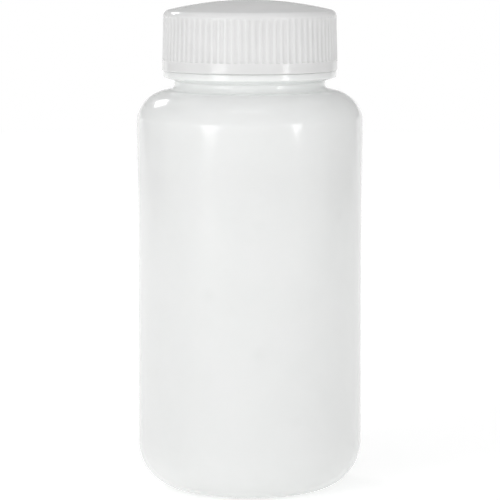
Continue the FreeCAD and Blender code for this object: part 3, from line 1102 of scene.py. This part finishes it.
def add_sheet(name: str, places: Sequence[tuple[float, ...]], material: bpy.types.Material) -> None:
    """Add one flat four-cornered sheet of the background."""
    mesh = bpy.data.meshes.new(name)
    mesh.from_pydata(places, [], [(0, 1, 2, 3)])
    mesh.materials.append(material)
    sheet = bpy.data.objects.new(name, mesh)
    bpy.context.scene.collection.objects.link(sheet)


@dataclass(frozen=True)
class Studio:
    """White sweep, lamps and camera."""

    ambient: float = 0.62
    floor_size: float = 3.0
    floor_gap: float = 0.0001
    floor_colour: str = "#CBCBCA"
    floor_glow: float = 0.34
    seen_floor_colour: str = "#F3F3F3"
    # Painted shade: the floor's glow in the picture is weaker near the bottle than far off, rising between
    # the two distances given below.
    near_glow_dimmed_for_painted_shade: float = 0.38
    seen_far_glow: float = 0.5
    painted_shade_reach: tuple[float, float] = (0.12, 0.5)
    card_colour: str = "#D2D2D2"
    card_top: float = 1.2
    cards: tuple[tuple[str, tuple[float, float], tuple[float, float], float], ...] = (
        ("back_card", (-1.3, 0.9), (0.8, 0.9), 0.2),
        ("right_card", (0.8, 0.9), (0.8, -0.1), 0.0),
        ("left_card", (-0.85, 0.05), (-0.85, 0.9), 0.0),
    )
    camera_place: tuple[float, float, float] = (0.00005, -0.9587, 0.1952)
    camera_pitch: float = 6.875
    camera_lens: float = 207.9
    sensor: float = 36.0

    def lamps(self) -> tuple[Lamp, ...]:
        """The lamps, whose reflections stand on the band, the collar, the side and the shoulder."""
        return (
            Lamp("left_dish", -40.0, 4.5, 0.9, 0.38, 0.3, 5.2, LampShape.ELLIPSE),
            Lamp("right_softbox", 47.5, 7.0, 0.9, 0.15, 0.34, 6.6),
            Lamp("left_fill", -72.0, 10.0, 1.2, 0.8, 0.6, 0.4),
            Lamp("back_left_softbox", -142.0, 30.0, 1.0, 0.25, 0.18, 8.0),
            Lamp("top_strip", 0.0, 66.0, 0.9, 0.5, 0.03, 9.0),
            Lamp("front_fill", 0.0, 2.0, 1.4, 1.8, 0.3, 0.5),
        )

    def seen_ray(self, tree: Tree) -> Socket:
        """1 for a ray that shows the background as it is: from the camera, a reflection or clear plastic."""
        path = add_node(tree, "LightPath")
        kinds = ("Is Camera Ray", "Is Glossy Ray", "Is Transmission Ray")
        total = path.outputs[kinds[0]]
        for kind in kinds[1:]:
            links = {0: total, 1: path.outputs[kind]}
            total = add_node(tree, "Math", links=links, operation="MAXIMUM").outputs[0]
        return total

    def make_world(self) -> None:
        """A white world that lights the bottle softly."""
        world = bpy.data.worlds.new("white_sweep")
        bpy.context.scene.world = world
        world.use_nodes = True
        tree = world.node_tree
        tree.nodes.clear()
        strength = remap(tree, self.seen_ray(tree), (0.0, 1.0), (self.ambient, 1.0))
        sky = add_node(tree, "Background", {"Color": (1.0, 1.0, 1.0, 1.0)}, {"Strength": strength})
        add_node(tree, "OutputWorld", links={"Surface": sky.outputs["Background"]})

    def make_floor(self) -> None:
        """An opal light table: white in the picture, apart from the bottle's own soft shadow, which a painted
        shade deepens: its glow is dimmer near the bottle.
        """
        material = empty_material("opal_light_table")
        tree = material.node_tree
        seen = self.seen_ray(tree)
        tone = mix_colours(tree, seen, self.floor_colour, self.seen_floor_colour)
        paint = add_node(tree, "BsdfDiffuse", links={"Color": tone})
        place = add_node(tree, "TexCoord").outputs["Object"]
        # Painted shade: the glow seen in the picture rises from its dim value beside the bottle to its full
        # value further out.
        distance = add_node(tree, "VectorMath", links={0: place}, operation="LENGTH").outputs["Value"]
        painted_shade_glows = (self.near_glow_dimmed_for_painted_shade, self.seen_far_glow)
        glow_with_painted_shade = remap(tree, distance, self.painted_shade_reach, painted_shade_glows, "SMOOTHSTEP")
        strength = add_node(tree, "MapRange", {"To Min": self.floor_glow}, {"Value": seen, "To Max": glow_with_painted_shade})
        glow = add_node(tree, "Emission", links={"Strength": strength.outputs["Result"]})
        layers = {0: paint.outputs["BSDF"], 1: glow.outputs["Emission"]}
        both = add_node(tree, "AddShader", links=layers)
        add_node(tree, "OutputMaterial", links={"Surface": both.outputs["Shader"]})
        half, low = self.floor_size / 2.0, -self.floor_gap
        places = [(-half, -half, low), (half, -half, low), (half, half, low), (-half, half, low)]
        add_sheet("floor", places, material)

    def make_cards(self) -> None:
        """Grey cards outside the picture: the cap's top mirrors the one behind, the sides the others."""
        material = empty_material("grey_card")
        tree = material.node_tree
        paint = add_node(tree, "BsdfDiffuse", {"Color": linear(self.card_colour)})
        add_node(tree, "OutputMaterial", links={"Surface": paint.outputs["BSDF"]})
        top = self.card_top
        for name, near, far, low in self.cards:
            add_sheet(name, [(*near, low), (*far, low), (*far, top), (*near, top)], material)

    def make_camera(self) -> None:
        """A long lens a little above the cap, looking slightly down."""
        lens = bpy.data.cameras.new("camera")
        lens.lens = self.camera_lens
        lens.sensor_width = self.sensor
        camera = bpy.data.objects.new("camera", lens)
        camera.location = self.camera_place
        camera.rotation_euler = (QUARTER - math.radians(self.camera_pitch), 0.0, 0.0)
        bpy.context.scene.collection.objects.link(camera)
        bpy.context.scene.camera = camera

    def build(self) -> None:
        """Set up the world, the floor, the lamps and the camera."""
        bpy.context.scene.view_settings.view_transform = "Standard"
        self.make_world()
        self.make_floor()
        self.make_cards()
        for lamp in self.lamps():
            lamp.place()
        self.make_camera()


def corners(box: tuple[Vector, Vector]) -> list[list[float]]:
    """A box's two corners as plain lists."""
    return [list(corner) for corner in box]


def main() -> None:
    """Build the bottle, its cap and disc, and the studio round them."""
    logging.basicConfig(level=logging.INFO, format="%(message)s")
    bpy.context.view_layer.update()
    threads = ThreadPair()
    bottle = BlownBottle(threads)
    cap = RibbedCap(threads, bottle.collar_top)
    dress(bottle.build(), NATURAL_HDPE.material(), "bottle")
    dress(cap.build(), NATURAL_PP.material(), "screw_cap")
    dress(FoamDisc().build(), FoamedPolyethylene().material(), "sealing_disc")
    Studio().build()
    bpy.context.view_layer.update()


if __name__ == "__main__":
    main()
